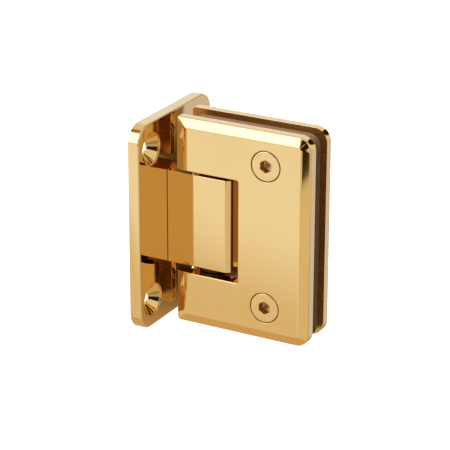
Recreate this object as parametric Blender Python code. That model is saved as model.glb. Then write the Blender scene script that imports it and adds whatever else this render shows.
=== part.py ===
"""Glass-to-wall shower door hinge, modelled as the separate pieces of the real one.

Metres, +Z up. The wall plate's back lies in the plane X = 0, and the glass lies in the
plane Y = 0 and runs towards +X. The origin is the middle of the wall plate's back.
The front clamp plate faces -Y. The door turns about the vertical pin.
"""
import math

import bmesh
import bpy
from mathutils import Matrix, Vector

# Wall plate
WALL_PLATE_HEIGHT = 0.090
WALL_PLATE_WIDTH = 0.060
WALL_PLATE_THICKNESS = 0.0052
WALL_PLATE_CORNER_RADIUS = 0.0080
WALL_PLATE_EDGE_RADIUS = 0.0007
WALL_HOLE_DIAMETER = 0.0070
WALL_HOLE_SPACING_Y = 0.0400
WALL_HOLE_SPACING_Z = 0.0668
WALL_COUNTERSINK_DIAMETER = 0.0142
WALL_COUNTERSINK_LEAD = 0.0008

# Pivot block, which stands out of the wall plate and holds the pin
PIN_AXIS_FROM_WALL = 0.0240
BLOCK_THICKNESS = 0.0150
BLOCK_HEIGHT = 0.0410
BLOCK_NOSE_LENGTH = 0.0109
BLOCK_NOSE_CHAMFER_LENGTH = 0.0021
BLOCK_NOSE_CHAMFER_DEPTH = 0.0012
BLOCK_EDGE_RADIUS = 0.0004

# Screws from the wall plate's back into the block
BLOCK_SCREW_DIAMETER = 0.0050
BLOCK_SCREW_HEAD_DIAMETER = 0.0100
BLOCK_SCREW_LENGTH = 0.0160
BLOCK_SCREW_SPACING = 0.0286
BLOCK_SCREW_KEY = 0.0030

# Pin and its bushes
PIN_DIAMETER = 0.0100
PIN_FLAT_SPACING = 0.0084
PIN_FLAT_LENGTH = 0.0168
PIN_SQUARE_WIDTH = 0.0070
PIN_SQUARE_LENGTH = 0.0085
PIN_END_CHAMFER = 0.0004
BUSH_WALL = 0.0010
BUSH_LENGTH = 0.0080
BUSH_FLANGE_DIAMETER = 0.0130
BUSH_FLANGE_THICKNESS = 0.0017

# Detent behind the pin
DETENT_SHOE_WIDTH = 0.0086
DETENT_SHOE_HEIGHT = 0.0160
DETENT_SHOE_LENGTH = 0.0048
DETENT_SHOE_CHAMFER = 0.0006
DETENT_SPRING_DIAMETER = 0.0070
DETENT_SPRING_WIRE = 0.0010
DETENT_SPRING_TURNS = 6
DETENT_SPRING_END_CLOSING = 0.12

# Glass clamp
CLAMP_HEIGHT = 0.0910
CLAMP_LENGTH = 0.0620
CLAMP_WALL_GAP = 0.0054
CLAMP_PLATE_THICKNESS = 0.0052
CLAMP_FAR_CORNER_RADIUS = 0.0060
CLAMP_NEAR_CORNER_RADIUS = 0.0015
CLAMP_FACE_CORNER_RADIUS = 0.0009
CLAMP_BEVEL_WIDTH = 0.0042
CLAMP_BEVEL_DEPTH = 0.0013
CLAMP_EDGE_RADIUS = 0.0004
CLAMP_CREASE_RADIUS = 0.0006
GLASS_GAP = 0.0100
NOTCH_CLEARANCE = 0.0021
NOTCH_END_CLEARANCE = 0.0051
NOTCH_CORNER_RADIUS = 0.0008
NOTCH_RIM_CHAMFER = 0.00025

# Bosses inside the clamp plates, which hold the pin's square ends
BOSS_WIDTH = 0.0140
BOSS_END_WALL = 0.0022
BOSS_ROOT = 0.0006

# Screws that pull the clamp plates together
CLAMP_SCREW_DIAMETER = 0.0060
CLAMP_SCREW_HEAD_DIAMETER = 0.0135
CLAMP_SCREW_SPACING = 0.0620
CLAMP_SCREW_FROM_FAR_EDGE = 0.0200
CLAMP_SCREW_KEY = 0.0050
CLAMP_SCREW_RIM = 0.0003
CLAMP_THREAD_WALL = 0.0010
SLEEVE_WALL = 0.0018
SLEEVE_RECESS_DEPTH = 0.0004

# Gasket sheets between the front plate and the glass
GASKET_COUNT = 3
GASKET_THICKNESS = 0.0018
GASKET_INSET = 0.0010
GASKET_NEAR_INSET = 0.0058

# Clearances
SEAT_GAP = 0.0001
FIT_GAP = 0.0003
RUNNING_GAP = 0.00005
PIECE_GAP = 0.0005
CUTTER_REACH = 0.001

# Fineness of the facets
CORNER_STEPS = 9
SMALL_CORNER_STEPS = 3
EDGE_STEPS = 3
HOLE_STEPS = 36
BORE_STEPS = 48
SPRING_STEPS = 14

# Worked out from the sizes above
PIN_RADIUS = PIN_DIAMETER / 2
BLOCK_BACK = WALL_PLATE_THICKNESS + SEAT_GAP
BLOCK_NOSE = PIN_AXIS_FROM_WALL + BLOCK_NOSE_LENGTH
BLOCK_TOP = BLOCK_HEIGHT / 2
NOTCH_TOP = BLOCK_TOP + NOTCH_CLEARANCE
NOTCH_END = BLOCK_NOSE + NOTCH_END_CLEARANCE
CLAMP_NEAR = WALL_PLATE_THICKNESS + CLAMP_WALL_GAP
CLAMP_FAR = CLAMP_NEAR + CLAMP_LENGTH
CLAMP_TOP = CLAMP_HEIGHT / 2
PLATE_INNER = GLASS_GAP / 2
PLATE_OUTER = PLATE_INNER + CLAMP_PLATE_THICKNESS
PIN_SHOULDER = NOTCH_TOP - SEAT_GAP
PIN_TOP = PIN_SHOULDER + PIN_SQUARE_LENGTH
GROOVE_HALF_WIDTH = PIN_SQUARE_WIDTH / 2 + SEAT_GAP
GROOVE_TOP = PIN_TOP + FIT_GAP
BOSS_TOP = GROOVE_TOP + BOSS_END_WALL
BUSH_BORE_RADIUS = PIN_RADIUS + RUNNING_GAP
BUSH_RADIUS = BUSH_BORE_RADIUS + BUSH_WALL
CLAMP_SCREW_X = CLAMP_FAR - CLAMP_SCREW_FROM_FAR_EDGE
CLAMP_SCREW_TIP = PLATE_OUTER - CLAMP_THREAD_WALL - FIT_GAP
SLEEVE_BORE_RADIUS = CLAMP_SCREW_DIAMETER / 2 + FIT_GAP
SLEEVE_RADIUS = SLEEVE_BORE_RADIUS + SLEEVE_WALL
SLEEVE_HOLE_RADIUS = SLEEVE_RADIUS + FIT_GAP
SHOE_FACE = PIN_AXIS_FROM_WALL - PIN_RADIUS - RUNNING_GAP
SHOE_BACK = SHOE_FACE - DETENT_SHOE_LENGTH

X_AXIS = Vector((1, 0, 0))
Y_AXIS = Vector((0, 1, 0))
Z_AXIS = Vector((0, 0, 1))


def clear_scene():
    """Removes every object, whatever the file held before."""
    for item in list(bpy.data.objects):
        bpy.data.objects.remove(item, do_unlink=True)


def make_material(name, colour, metallic, roughness):
    material = bpy.data.materials.new(name)
    material.use_nodes = True
    shader = material.node_tree.nodes["Principled BSDF"]
    shader.inputs["Base Color"].default_value = (*colour, 1)
    shader.inputs["Metallic"].default_value = metallic
    shader.inputs["Roughness"].default_value = roughness
    material.diffuse_color = (*colour, 1)
    return material


def make_axis(name, location):
    """An empty on a joint's axis, which carries the pieces that move about it."""
    axis = bpy.data.objects.new(name, None)
    axis.location = location
    axis.empty_display_size = PIN_DIAMETER
    bpy.context.scene.collection.objects.link(axis)
    bpy.context.view_layer.update()
    return axis


def make_object(name, data, parent):
    """Links a mesh or curve that is modelled in place, and hangs it on its parent."""
    item = bpy.data.objects.new(name, data)
    bpy.context.scene.collection.objects.link(item)
    if parent:
        item.parent = parent
        item.matrix_parent_inverse = parent.matrix_world.inverted()
    return item


def finish_mesh(name, shape, parent, material=None):
    """Turns a bmesh into an object with its normals out and its round parts smooth."""
    bmesh.ops.remove_doubles(shape, verts=shape.verts, dist=1e-7)
    bmesh.ops.recalc_face_normals(shape, faces=shape.faces)
    mesh = bpy.data.meshes.new(name)
    shape.to_mesh(mesh)
    shape.free()
    mesh.shade_smooth()
    mesh.set_sharp_from_angle(angle=math.radians(25))
    if material:
        mesh.materials.append(material)
    return make_object(name, mesh, parent)


def in_space(axis, point, level):
    """A flat outline's point at a level along an axis; the outline's second value is up."""
    u, v = point
    if axis == X_AXIS:
        return Vector((level, u, v))
    if axis == Y_AXIS:
        return Vector((u, level, v))
    return Vector((u, v, level))


def fillet(corners, radii, steps):
    """A closed outline with each corner rounded, and as many points whatever the radii."""
    points = []
    for index, radius in enumerate(radii):
        corner = Vector(corners[index])
        before = (Vector(corners[index - 1]) - corner).normalized()
        after = (Vector(corners[(index + 1) % len(corners)]) - corner).normalized()
        half_angle = before.angle(after) / 2
        centre = corner + (before + after).normalized() * radius / math.sin(half_angle)
        start = corner + before * radius / math.tan(half_angle) - centre
        turn = math.copysign(math.pi - 2 * half_angle, after.cross(before))
        for step in range(steps + 1):
            angle = turn * step / steps
            cosine = math.cos(angle)
            sine = math.sin(angle)
            spoke = Vector((start.x * cosine - start.y * sine, start.x * sine + start.y * cosine))
            points.append(centre + spoke)
    return points


def rectangle(left, right, bottom, top):
    """The corners from the bottom left, anticlockwise."""
    return [(left, bottom), (right, bottom), (right, top), (left, top)]


def round_profile(points, radii):
    """Softens the inner corners of an open profile with short curves."""
    softened = [Vector(points[0])]
    for before, corner, after, radius in zip(points, points[1:], points[2:], radii):
        corner = Vector(corner)
        start = corner + (Vector(before) - corner).normalized() * radius
        end = corner + (Vector(after) - corner).normalized() * radius
        for step in range(EDGE_STEPS + 1):
            t = step / EDGE_STEPS
            softened.append(start * (1 - t) ** 2 + corner * 2 * t * (1 - t) + end * t ** 2)
    softened.append(Vector(points[-1]))
    return softened


def loft(name, axis, sections, parent, material=None):
    """A solid through outlines of equal point counts, each given with its level."""
    shape = bmesh.new()
    loops = []
    for level, outline in sections:
        loops.append([shape.verts.new(in_space(axis, point, level)) for point in outline])
    count = len(loops[0])
    for low, high in zip(loops, loops[1:]):
        for index in range(count):
            following = (index + 1) % count
            shape.faces.new((low[index], low[following], high[following], high[index]))
    shape.faces.new(loops[0])
    shape.faces.new(loops[-1])
    return finish_mesh(name, shape, parent, material)


def turned(name, axis, centre, profile, steps, parent, material=None):
    """Spins a profile of (radius, distance along the axis) points about the axis."""
    shape = bmesh.new()
    verts = [shape.verts.new((radius, 0, distance)) for radius, distance in profile]
    edges = [shape.edges.new(pair) for pair in zip(verts, verts[1:])]
    if profile[0][0] > 0:
        edges.append(shape.edges.new((verts[-1], verts[0])))
    bmesh.ops.spin(shape, geom=verts + edges, axis=Z_AXIS, cent=(0, 0, 0), steps=steps,
                   angle=math.tau, use_merge=True)
    turn = Z_AXIS.rotation_difference(axis).to_matrix().to_4x4()
    bmesh.ops.transform(shape, matrix=Matrix.Translation(centre) @ turn, verts=shape.verts)
    return finish_mesh(name, shape, parent, material)


def combine(target, tool, operation):
    """Adds a Boolean to the target; the tool is a guide and not a piece."""
    tool.hide_render = True
    tool.display_type = "WIRE"
    tool.parent = target
    tool.matrix_parent_inverse = Matrix.Identity(4)
    modifier = target.modifiers.new(tool.name, "BOOLEAN")
    modifier.operation = operation
    modifier.solver = "EXACT"
    modifier.object = tool


def cut(target, tool):
    combine(target, tool, "DIFFERENCE")


def join(target, tool):
    combine(target, tool, "UNION")


def wall_plate_outline(inset):
    half_width = WALL_PLATE_WIDTH / 2 - inset
    half_height = WALL_PLATE_HEIGHT / 2 - inset
    corners = rectangle(-half_width, half_width, -half_height, half_height)
    return fillet(corners, [WALL_PLATE_CORNER_RADIUS - inset] * 4, CORNER_STEPS)


def countersink_profile(head_radius, bore_radius, lead, thickness):
    """A cutter's profile: a short straight lead-in, a 90 degree cone, then the through bore."""
    return [
        (0, -CUTTER_REACH),
        (head_radius, -CUTTER_REACH),
        (head_radius, lead),
        (bore_radius, lead + head_radius - bore_radius),
        (bore_radius, thickness + CUTTER_REACH),
        (0, thickness + CUTTER_REACH),
    ]


def make_wall_plate(parent, material):
    edge = [(0, WALL_PLATE_EDGE_RADIUS), (0, 0), (WALL_PLATE_THICKNESS, 0),
            (WALL_PLATE_THICKNESS, WALL_PLATE_EDGE_RADIUS)]
    radii = [WALL_PLATE_EDGE_RADIUS / 2, WALL_PLATE_EDGE_RADIUS]
    sections = [(level, wall_plate_outline(inset)) for level, inset in round_profile(edge, radii)]
    plate = loft("wall_plate", X_AXIS, sections, parent, material)

    wall_hole = countersink_profile(WALL_COUNTERSINK_DIAMETER / 2, WALL_HOLE_DIAMETER / 2,
                                    WALL_COUNTERSINK_LEAD, WALL_PLATE_THICKNESS)
    for side_y in (-1, 1):
        for side_z in (-1, 1):
            centre = Vector((WALL_PLATE_THICKNESS, side_y * WALL_HOLE_SPACING_Y / 2,
                             side_z * WALL_HOLE_SPACING_Z / 2))
            cut(plate, turned("cut_wall_hole", -X_AXIS, centre, wall_hole, HOLE_STEPS, None))

    screw_hole = countersink_profile(BLOCK_SCREW_HEAD_DIAMETER / 2 + FIT_GAP,
                                     BLOCK_SCREW_DIAMETER / 2 + FIT_GAP, SEAT_GAP,
                                     WALL_PLATE_THICKNESS)
    for side_z in (-1, 1):
        centre = Vector((0, 0, side_z * BLOCK_SCREW_SPACING / 2))
        cut(plate, turned("cut_screw_hole", X_AXIS, centre, screw_hole, HOLE_STEPS, None))
    return plate


def block_outline(inset):
    """Seen from above: square against the wall plate, chamfered at the nose."""
    nose = BLOCK_NOSE - inset
    half = BLOCK_THICKNESS / 2 - inset
    corners = [
        (BLOCK_BACK, -half),
        (nose - BLOCK_NOSE_CHAMFER_LENGTH, -half),
        (nose, BLOCK_NOSE_CHAMFER_DEPTH - half),
        (nose, half - BLOCK_NOSE_CHAMFER_DEPTH),
        (nose - BLOCK_NOSE_CHAMFER_LENGTH, half),
        (BLOCK_BACK, half),
    ]
    crease = BLOCK_EDGE_RADIUS
    return fillet(corners, [crease / 4, crease, crease, crease, crease, crease / 4], EDGE_STEPS)


def make_pivot_block(parent, material):
    edge = [(-BLOCK_TOP, BLOCK_EDGE_RADIUS), (-BLOCK_TOP, 0), (BLOCK_TOP, 0),
            (BLOCK_TOP, BLOCK_EDGE_RADIUS)]
    radii = [BLOCK_EDGE_RADIUS, BLOCK_EDGE_RADIUS]
    sections = [(level, block_outline(inset)) for level, inset in round_profile(edge, radii)]
    block = loft("pivot_block", Z_AXIS, sections, parent, material)

    bore_radius = PIN_RADIUS + FIT_GAP
    pocket_radius = BUSH_RADIUS + SEAT_GAP
    pocket_floor = BLOCK_TOP - BUSH_LENGTH - SEAT_GAP
    beyond = BLOCK_TOP + CUTTER_REACH
    bore = [
        (0, -beyond),
        (pocket_radius, -beyond),
        (pocket_radius, -pocket_floor),
        (bore_radius, -pocket_floor),
        (bore_radius, pocket_floor),
        (pocket_radius, pocket_floor),
        (pocket_radius, beyond),
        (0, beyond),
    ]
    centre = Vector((PIN_AXIS_FROM_WALL, 0, 0))
    cut(block, turned("cut_pin_bore", Z_AXIS, centre, bore, BORE_STEPS, None))

    half_width = DETENT_SHOE_WIDTH / 2 + SEAT_GAP
    half_height = DETENT_SHOE_HEIGHT / 2 + SEAT_GAP
    chamber = fillet(rectangle(-half_width, half_width, -half_height, half_height),
                     [DETENT_SHOE_CHAMFER] * 4, EDGE_STEPS)
    chamber_end = PIN_AXIS_FROM_WALL - PIN_FLAT_SPACING / 2 + FIT_GAP
    sections = [(BLOCK_BACK - CUTTER_REACH, chamber), (chamber_end, chamber)]
    cut(block, loft("cut_detent_chamber", X_AXIS, sections, None))

    radius = BLOCK_SCREW_DIAMETER / 2 + FIT_GAP
    tip = BLOCK_SCREW_LENGTH + FIT_GAP
    start = BLOCK_BACK - CUTTER_REACH
    tapped_hole = [(0, start), (radius, start), (radius, tip), (0, tip + radius / 2)]
    for side_z in (-1, 1):
        centre = Vector((0, 0, side_z * BLOCK_SCREW_SPACING / 2))
        cut(block, turned("cut_tapped_hole", X_AXIS, centre, tapped_hole, HOLE_STEPS, None))
    return block


def make_countersunk_screw(name, axis, head, sizes, parent, material):
    """A hex socket screw whose head's top is at the given point; the axis runs to its tip."""
    diameter, head_diameter, length, key, rim = sizes
    radius = diameter / 2
    head_radius = head_diameter / 2
    tip_chamfer = diameter / 8
    profile = [
        (0, 0),
        (head_radius - rim, 0),
        (head_radius, rim),
        (radius, head_radius - radius + rim),
        (radius, length - tip_chamfer),
        (radius - tip_chamfer, length),
        (0, length),
    ]
    screw = turned(name, axis, head, profile, HOLE_STEPS, parent, material)
    socket_radius = key / math.sqrt(3)
    socket_depth = head_radius - radius
    socket = [
        (0, -rim),
        (socket_radius, -rim),
        (socket_radius, socket_depth),
        (0, socket_depth + socket_radius / 2),
    ]
    cut(screw, turned(name + "_socket", axis, head, socket, 6, None))
    return screw


def make_bush(name, side, parent, material):
    """A flanged bush; the flange keeps the clamp off the block."""
    seat = BLOCK_TOP + SEAT_GAP
    flange_top = seat + BUSH_FLANGE_THICKNESS
    profile = [
        (BUSH_BORE_RADIUS, BLOCK_TOP - BUSH_LENGTH),
        (BUSH_RADIUS, BLOCK_TOP - BUSH_LENGTH),
        (BUSH_RADIUS, seat),
        (BUSH_FLANGE_DIAMETER / 2, seat),
        (BUSH_FLANGE_DIAMETER / 2, flange_top),
        (BUSH_BORE_RADIUS, flange_top),
    ]
    centre = Vector((PIN_AXIS_FROM_WALL, 0, 0))
    return turned(name, side * Z_AXIS, centre, profile, BORE_STEPS, parent, material)


def pin_section(half_width):
    """The pin's round section, flattened on four sides at a half width."""
    points = []
    for step in range(BORE_STEPS):
        angle = math.tau * step / BORE_STEPS
        cosine = math.cos(angle)
        sine = math.sin(angle)
        reach = min(PIN_RADIUS, half_width / max(abs(cosine), abs(sine)))
        points.append((PIN_AXIS_FROM_WALL + reach * cosine, reach * sine))
    return points


def make_pin_cam(parent, material):
    """The middle of the pin, with four flats that the detent's shoe presses on."""
    flats = pin_section(PIN_FLAT_SPACING / 2)
    sections = [(-PIN_FLAT_LENGTH / 2, flats), (PIN_FLAT_LENGTH / 2, flats)]
    return loft("pin_cam", Z_AXIS, sections, parent, material)


def make_pin_end(name, side, parent, material):
    """A journal that turns in its bush, with a square end held in the clamp."""
    square = pin_section(PIN_SQUARE_WIDTH / 2)
    end = pin_section(PIN_SQUARE_WIDTH / 2 - PIN_END_CHAMFER)
    barrel = pin_section(PIN_DIAMETER)
    root = PIN_FLAT_LENGTH / 2 + SEAT_GAP
    sections = [(root, barrel), (PIN_SHOULDER, barrel), (PIN_SHOULDER, square),
                (PIN_TOP - PIN_END_CHAMFER, square), (PIN_TOP, end)]
    sections = [(side * level, section) for level, section in sections]
    return loft(name, Z_AXIS, sections, parent, material)


def make_detent_shoe(parent, material):
    """The block that the springs press on the pin's flats, drawn back clear of the pin."""
    def outline(inset):
        half_width = DETENT_SHOE_WIDTH / 2 - inset
        half_height = DETENT_SHOE_HEIGHT / 2 - inset
        corners = rectangle(-half_width, half_width, -half_height, half_height)
        return fillet(corners, [DETENT_SHOE_CHAMFER] * 4, EDGE_STEPS)

    chamfer = DETENT_SHOE_CHAMFER
    sections = [
        (SHOE_BACK, outline(chamfer)),
        (SHOE_BACK + chamfer, outline(0)),
        (SHOE_FACE - chamfer, outline(0)),
        (SHOE_FACE, outline(chamfer)),
    ]
    return loft("detent_shoe", X_AXIS, sections, parent, material)


def make_detent_spring(name, side, parent, material):
    """A wire coil between the wall plate and the shoe, closer wound towards its ends."""
    wire_radius = DETENT_SPRING_WIRE / 2
    coil_radius = DETENT_SPRING_DIAMETER / 2 - wire_radius
    start = BLOCK_BACK + wire_radius
    end = SHOE_BACK - FIT_GAP - wire_radius
    centre_z = side * (DETENT_SPRING_DIAMETER + FIT_GAP) / 2
    steps = DETENT_SPRING_TURNS * SPRING_STEPS
    curve = bpy.data.curves.new(name, "CURVE")
    curve.dimensions = "3D"
    curve.bevel_depth = wire_radius
    curve.bevel_resolution = 1
    curve.use_fill_caps = True
    spline = curve.splines.new("POLY")
    spline.points.add(steps)
    for step, point in enumerate(spline.points):
        t = step / steps
        angle = math.tau * DETENT_SPRING_TURNS * t
        along = t - DETENT_SPRING_END_CLOSING / math.tau * math.sin(math.tau * t)
        place = (start + (end - start) * along, coil_radius * math.cos(angle),
                 centre_z + coil_radius * math.sin(angle))
        point.co = (*place, 1)
    curve.materials.append(material)
    return make_object(name, curve, parent)


def clamp_outline(inset):
    """A clamp plate's outline at an inset; the corners tighten towards the bevel's top."""
    share = min(1, inset / CLAMP_BEVEL_WIDTH)
    radii = []
    for outer_radius in (CLAMP_NEAR_CORNER_RADIUS, CLAMP_FAR_CORNER_RADIUS,
                         CLAMP_FAR_CORNER_RADIUS, CLAMP_NEAR_CORNER_RADIUS):
        radii.append(outer_radius + (CLAMP_FACE_CORNER_RADIUS - outer_radius) * share)
    corners = rectangle(CLAMP_NEAR + inset, CLAMP_FAR - inset, inset - CLAMP_TOP,
                        CLAMP_TOP - inset)
    return fillet(corners, radii, CORNER_STEPS)


def box(name, low, high):
    sections = [(level, rectangle(low[0], high[0], low[2], high[2])) for level in (low[1], high[1])]
    return loft(name, Y_AXIS, sections, None)


def notch_outline(growth):
    left = CLAMP_NEAR - CLAMP_LENGTH / 4
    half_height = NOTCH_TOP + growth
    corners = rectangle(left, NOTCH_END + growth, -half_height, half_height)
    return fillet(corners, [NOTCH_CORNER_RADIUS] * 4, SMALL_CORNER_STEPS)


def make_clamp_plate(name, side, parent, material):
    """A bevelled plate with pin bosses inside and the notch round the block.

    The side is -1 for the front plate and 1 for the rear plate.
    """
    shoulder = PLATE_OUTER - CLAMP_BEVEL_DEPTH
    edge = [(PLATE_INNER, CLAMP_EDGE_RADIUS), (PLATE_INNER, 0), (shoulder, 0),
            (PLATE_OUTER, CLAMP_BEVEL_WIDTH),
            (PLATE_OUTER, CLAMP_BEVEL_WIDTH + 2 * CLAMP_CREASE_RADIUS)]
    radii = [CLAMP_EDGE_RADIUS / 2, CLAMP_EDGE_RADIUS, CLAMP_CREASE_RADIUS]
    sections = []
    for level, inset in round_profile(edge, radii):
        sections.append((side * level, clamp_outline(inset)))
    plate = loft(name, Y_AXIS, sections, parent, material)

    for side_z in (-1, 1):
        inner_z = side_z * (NOTCH_TOP - BOSS_ROOT)
        outer_z = side_z * BOSS_TOP
        left = PIN_AXIS_FROM_WALL - BOSS_WIDTH / 2
        right = PIN_AXIS_FROM_WALL + BOSS_WIDTH / 2
        root = side * (PLATE_INNER + BOSS_ROOT)
        meeting = side * SEAT_GAP / 2
        low = (left, min(root, meeting), min(inner_z, outer_z))
        high = (right, max(root, meeting), max(inner_z, outer_z))
        join(plate, box("add_boss", low, high))

    rim = NOTCH_RIM_CHAMFER
    notch = [
        (0, notch_outline(0)),
        (side * (PLATE_OUTER - rim), notch_outline(0)),
        (side * (PLATE_OUTER + rim), notch_outline(2 * rim)),
    ]
    cut(plate, loft("cut_notch", Y_AXIS, notch, None))

    groove_depth = side * GROOVE_HALF_WIDTH
    for side_z in (-1, 1):
        ends = sorted((side_z * (NOTCH_TOP - CUTTER_REACH), side_z * GROOVE_TOP))
        depths = sorted((-side * SEAT_GAP, groove_depth))
        low = (PIN_AXIS_FROM_WALL - GROOVE_HALF_WIDTH, depths[0], ends[0])
        high = (PIN_AXIS_FROM_WALL + GROOVE_HALF_WIDTH, depths[1], ends[1])
        cut(plate, box("cut_pin_groove", low, high))
    return plate


def make_front_clamp_plate(parent, material):
    plate = make_clamp_plate("front_clamp_plate", -1, parent, material)
    head_radius = CLAMP_SCREW_HEAD_DIAMETER / 2 + FIT_GAP
    recess = CLAMP_PLATE_THICKNESS - SLEEVE_RECESS_DEPTH
    beyond = CLAMP_PLATE_THICKNESS + CUTTER_REACH
    profile = [
        (0, -CUTTER_REACH),
        (head_radius + CUTTER_REACH, -CUTTER_REACH),
        (SLEEVE_BORE_RADIUS, head_radius - SLEEVE_BORE_RADIUS),
        (SLEEVE_BORE_RADIUS, recess),
        (SLEEVE_HOLE_RADIUS, recess),
        (SLEEVE_HOLE_RADIUS, beyond),
        (0, beyond),
    ]
    for side_z in (-1, 1):
        centre = Vector((CLAMP_SCREW_X, -PLATE_OUTER, side_z * CLAMP_SCREW_SPACING / 2))
        cut(plate, turned("cut_countersink", Y_AXIS, centre, profile, HOLE_STEPS, None))
    return plate


def make_rear_clamp_plate(parent, material):
    plate = make_clamp_plate("rear_clamp_plate", 1, parent, material)
    start = PLATE_INNER - CUTTER_REACH
    recess = PLATE_INNER + SLEEVE_RECESS_DEPTH
    depth = PLATE_OUTER - CLAMP_THREAD_WALL
    profile = [
        (0, start),
        (SLEEVE_HOLE_RADIUS, start),
        (SLEEVE_HOLE_RADIUS, recess),
        (SLEEVE_BORE_RADIUS, recess),
        (SLEEVE_BORE_RADIUS, depth),
        (0, depth),
    ]
    for side_z in (-1, 1):
        centre = Vector((CLAMP_SCREW_X, 0, side_z * CLAMP_SCREW_SPACING / 2))
        cut(plate, turned("cut_threaded_hole", Y_AXIS, centre, profile, HOLE_STEPS, None))
    return plate


def make_screw_sleeve(name, side_z, parent, material):
    """A sleeve that keeps the glass off the screw, set in a recess of each plate."""
    half_length = PLATE_INNER + SLEEVE_RECESS_DEPTH - SEAT_GAP
    profile = [
        (SLEEVE_BORE_RADIUS, -half_length),
        (SLEEVE_RADIUS, -half_length),
        (SLEEVE_RADIUS, half_length),
        (SLEEVE_BORE_RADIUS, half_length),
    ]
    centre = Vector((CLAMP_SCREW_X, 0, side_z * CLAMP_SCREW_SPACING / 2))
    return turned(name, Y_AXIS, centre, profile, HOLE_STEPS, parent, material)


def make_gasket(name, index, parent, material):
    """One sheet of the stack, cut out round the notch, the bosses and the sleeves."""
    left = CLAMP_NEAR + GASKET_NEAR_INSET
    right = CLAMP_FAR - GASKET_INSET
    top = CLAMP_TOP - GASKET_INSET
    boss_side = PIN_AXIS_FROM_WALL + BOSS_WIDTH / 2 + PIECE_GAP
    boss_clear = BOSS_TOP + PIECE_GAP
    corners = [(left, -top), (right, -top), (right, top), (left, top), (left, boss_clear),
               (boss_side, boss_clear), (boss_side, NOTCH_TOP), (NOTCH_END, NOTCH_TOP),
               (NOTCH_END, -NOTCH_TOP), (boss_side, -NOTCH_TOP), (boss_side, -boss_clear),
               (left, -boss_clear)]
    near = CLAMP_NEAR_CORNER_RADIUS
    far = CLAMP_FAR_CORNER_RADIUS - GASKET_INSET
    inner = NOTCH_CORNER_RADIUS
    radii = [near, far, far, near] + [inner] * 8
    outline = fillet(corners, radii, SMALL_CORNER_STEPS + 2)
    pitch = GASKET_THICKNESS + SEAT_GAP
    low = SEAT_GAP - PLATE_INNER + pitch * index
    sections = [(low, outline), (low + GASKET_THICKNESS, outline)]
    gasket = loft(name, Y_AXIS, sections, parent, material)
    start = low - CUTTER_REACH
    end = low + pitch + CUTTER_REACH
    hole = [(0, start), (SLEEVE_HOLE_RADIUS, start), (SLEEVE_HOLE_RADIUS, end), (0, end)]
    for side_z in (-1, 1):
        centre = Vector((CLAMP_SCREW_X, 0, side_z * CLAMP_SCREW_SPACING / 2))
        cut(gasket, turned("cut_sleeve_hole", Y_AXIS, centre, hole, HOLE_STEPS, None))
    return gasket


def build_wall_side(gold, steel, black_plastic, spring_steel):
    make_wall_plate(None, gold)
    make_pivot_block(None, gold)
    sizes = (BLOCK_SCREW_DIAMETER, BLOCK_SCREW_HEAD_DIAMETER, BLOCK_SCREW_LENGTH - SEAT_GAP,
             BLOCK_SCREW_KEY, SEAT_GAP)
    for label, side in (("upper", 1), ("lower", -1)):
        head = Vector((SEAT_GAP, 0, side * BLOCK_SCREW_SPACING / 2))
        make_countersunk_screw("block_screw_" + label, X_AXIS, head, sizes, None, steel)
        make_bush("bush_" + label, side, None, black_plastic)
        make_detent_spring("detent_spring_" + label, side, None, spring_steel)


def build_glass_side(swing, gold, screw_gold, steel, sleeve_plastic, gasket_plastic):
    make_pin_cam(swing, steel)
    make_front_clamp_plate(swing, gold)
    make_rear_clamp_plate(swing, gold)
    length = PLATE_OUTER + CLAMP_SCREW_TIP
    sizes = (CLAMP_SCREW_DIAMETER, CLAMP_SCREW_HEAD_DIAMETER, length, CLAMP_SCREW_KEY,
             CLAMP_SCREW_RIM)
    for label, side in (("upper", 1), ("lower", -1)):
        head = Vector((CLAMP_SCREW_X, -PLATE_OUTER, side * CLAMP_SCREW_SPACING / 2))
        make_countersunk_screw("clamp_screw_" + label, Y_AXIS, head, sizes, swing, screw_gold)
        make_screw_sleeve("screw_sleeve_" + label, side, swing, sleeve_plastic)
        make_pin_end("pin_end_" + label, side, swing, steel)
    for index in range(GASKET_COUNT):
        make_gasket(f"glass_gasket_{index + 1}", index, swing, gasket_plastic)


def main():
    clear_scene()
    gold = make_material("polished_gold", (0.83, 0.61, 0.29), 1.0, 0.08)
    screw_gold = make_material("screw_gold", (0.84, 0.66, 0.38), 1.0, 0.16)
    steel = make_material("steel", (0.55, 0.55, 0.54), 1.0, 0.30)
    spring_steel = make_material("spring_steel", (0.42, 0.42, 0.43), 1.0, 0.35)
    shoe_brass = make_material("shoe_brass", (0.62, 0.47, 0.22), 1.0, 0.35)
    black_plastic = make_material("black_plastic", (0.03, 0.03, 0.03), 0.0, 0.45)
    sleeve_plastic = make_material("sleeve_plastic", (0.82, 0.81, 0.78), 0.0, 0.40)
    gasket_plastic = make_material("gasket_plastic", (0.36, 0.29, 0.25), 0.0, 0.35)

    swing = make_axis("door_swing_axis", (PIN_AXIS_FROM_WALL, 0, 0))
    shoe_slide = make_axis("shoe_slide_axis", (SHOE_FACE, 0, 0))
    build_wall_side(gold, steel, black_plastic, spring_steel)
    make_detent_shoe(shoe_slide, shoe_brass)
    build_glass_side(swing, gold, screw_gold, steel, sleeve_plastic, gasket_plastic)


main()
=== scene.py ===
"""Polished gold glass-to-wall shower door hinge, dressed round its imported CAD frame."""
import math

import bmesh
import bpy
from bpy.props import FloatProperty, FloatVectorProperty, PointerProperty
from mathutils import Matrix, Vector


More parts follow.
